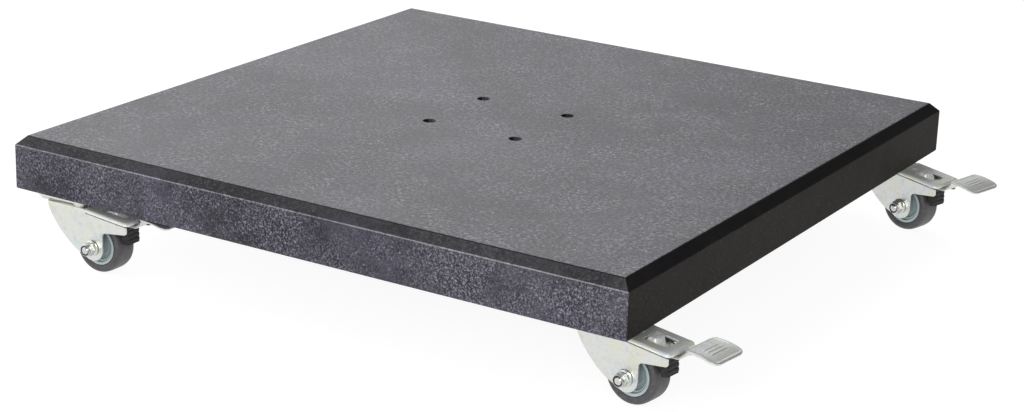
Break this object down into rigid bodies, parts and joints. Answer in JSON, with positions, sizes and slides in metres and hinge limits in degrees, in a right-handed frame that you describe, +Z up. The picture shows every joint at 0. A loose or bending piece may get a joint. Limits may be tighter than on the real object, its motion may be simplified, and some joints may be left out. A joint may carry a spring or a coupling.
{
  "type": "parasol base slab on castors",
  "caption": "Square chamfered granite slab with a central square of bolt holes, carried on swivel castors that each have a foot brake.",
  "frame": {"origin": "middle of the slab's top face", "axes": "+Z up out of the top face; +X towards the side that the brake pedals point to; +Y towards the back; the four sides are square to X and Y"},
  "size_m": [0.8483, 0.7502, 0.141],
  "materials": {
    "granite": "honed dark grey granite with fine light flecks, faces darker than the top",
    "zinc_steel": "bright zinc-plated pressed steel with a faint yellow-green passivation",
    "plain_steel": "machined steel, lightly oiled",
    "hub_plastic": "moulded pale blue-grey polypropylene",
    "tread": "dark grey cast polyurethane, satin",
    "brake_rubber": "black moulded rubber"
  },
  "bodies": {
    "base": {"slab": "granite", "bolt_insert_1": "plain_steel", "bolt_insert_2": "plain_steel", "bolt_insert_3": "plain_steel", "bolt_insert_4": "plain_steel", "front_right_top_plate": "zinc_steel", "front_right_swivel_bearing": "zinc_steel", "front_right_kingpin": "plain_steel", "rear_right_top_plate": "zinc_steel", "rear_right_swivel_bearing": "zinc_steel", "rear_right_kingpin": "plain_steel", "front_left_top_plate": "zinc_steel", "front_left_swivel_bearing": "zinc_steel", "front_left_kingpin": "plain_steel", "rear_left_top_plate": "zinc_steel", "rear_left_swivel_bearing": "zinc_steel", "rear_left_kingpin": "plain_steel"},
    "front_right_castor": {"front_right_fork": "zinc_steel", "front_right_brake_cover": "zinc_steel", "front_right_axle_sleeve": "plain_steel", "front_right_axle_bolt": "zinc_steel", "front_right_axle_nut": "zinc_steel", "front_right_pedal_pin": "plain_steel"},
    "front_right_wheel": {"front_right_wheel_hub": "hub_plastic", "front_right_wheel_tyre": "tread"},
    "front_right_brake": {"front_right_brake_pedal": "zinc_steel", "front_right_brake_shoe": "brake_rubber"},
    "rear_right_castor": {"rear_right_fork": "zinc_steel", "rear_right_brake_cover": "zinc_steel", "rear_right_axle_sleeve": "plain_steel", "rear_right_axle_bolt": "zinc_steel", "rear_right_axle_nut": "zinc_steel", "rear_right_pedal_pin": "plain_steel"},
    "rear_right_wheel": {"rear_right_wheel_hub": "hub_plastic", "rear_right_wheel_tyre": "tread"},
    "rear_right_brake": {"rear_right_brake_pedal": "zinc_steel", "rear_right_brake_shoe": "brake_rubber"},
    "front_left_castor": {"front_left_fork": "zinc_steel", "front_left_brake_cover": "zinc_steel", "front_left_axle_sleeve": "plain_steel", "front_left_axle_bolt": "zinc_steel", "front_left_axle_nut": "zinc_steel", "front_left_pedal_pin": "plain_steel"},
    "front_left_wheel": {"front_left_wheel_hub": "hub_plastic", "front_left_wheel_tyre": "tread"},
    "front_left_brake": {"front_left_brake_pedal": "zinc_steel", "front_left_brake_shoe": "brake_rubber"},
    "rear_left_castor": {"rear_left_fork": "zinc_steel", "rear_left_brake_cover": "zinc_steel", "rear_left_axle_sleeve": "plain_steel", "rear_left_axle_bolt": "zinc_steel", "rear_left_axle_nut": "zinc_steel", "rear_left_pedal_pin": "plain_steel"},
    "rear_left_wheel": {"rear_left_wheel_hub": "hub_plastic", "rear_left_wheel_tyre": "tread"},
    "rear_left_brake": {"rear_left_brake_pedal": "zinc_steel", "rear_left_brake_shoe": "brake_rubber"}
  },
  "joints": [
    {"name": "front_right_swivel", "type": "hinge", "parent": "base", "child": "front_right_castor", "pos_m": [0.322, -0.313, -0.059], "axis": [0, 0, 1], "continuous": true},
    {"name": "front_right_wheel_spin", "type": "hinge", "parent": "front_right_castor", "child": "front_right_wheel", "pos_m": [0.35872, -0.31751, -0.1108], "axis": [0.1219, 0.9925, 0], "continuous": true},
    {"name": "front_right_brake_press", "type": "hinge", "parent": "front_right_castor", "child": "front_right_brake", "pos_m": [0.38155, -0.32031, -0.084], "axis": [0.1219, 0.9925, 0], "range_deg": [0, 7.5]},
    {"name": "rear_right_swivel", "type": "hinge", "parent": "base", "child": "rear_right_castor", "pos_m": [0.333, 0.332, -0.059], "axis": [0, 0, 1], "continuous": true},
    {"name": "rear_right_wheel_spin", "type": "hinge", "parent": "rear_right_castor", "child": "rear_right_wheel", "pos_m": [0.3689, 0.32305, -0.1108], "axis": [0.2419, 0.9703, 0], "continuous": true},
    {"name": "rear_right_brake_press", "type": "hinge", "parent": "rear_right_castor", "child": "rear_right_brake", "pos_m": [0.39122, 0.31749, -0.084], "axis": [0.2419, 0.9703, 0], "range_deg": [0, 7.5]},
    {"name": "front_left_swivel", "type": "hinge", "parent": "base", "child": "front_left_castor", "pos_m": [-0.318, -0.341, -0.059], "axis": [0, 0, 1], "continuous": true},
    {"name": "front_left_wheel_spin", "type": "hinge", "parent": "front_left_castor", "child": "front_left_wheel", "pos_m": [-0.281, -0.341, -0.1108], "axis": [0, 1, 0], "continuous": true},
    {"name": "front_left_brake_press", "type": "hinge", "parent": "front_left_castor", "child": "front_left_brake", "pos_m": [-0.258, -0.341, -0.084], "axis": [0, 1, 0], "range_deg": [0, 7.5]},
    {"name": "rear_left_swivel", "type": "hinge", "parent": "base", "child": "rear_left_castor", "pos_m": [-0.326, 0.326, -0.059], "axis": [0, 0, 1], "continuous": true},
    {"name": "rear_left_wheel_spin", "type": "hinge", "parent": "rear_left_castor", "child": "rear_left_wheel", "pos_m": [-0.28909, 0.32342, -0.1108], "axis": [0.0698, 0.9976, 0], "continuous": true},
    {"name": "rear_left_brake_press", "type": "hinge", "parent": "rear_left_castor", "child": "rear_left_brake", "pos_m": [-0.26615, 0.32182, -0.084], "axis": [0.0698, 0.9976, 0], "range_deg": [0, 7.5]}
  ]
}
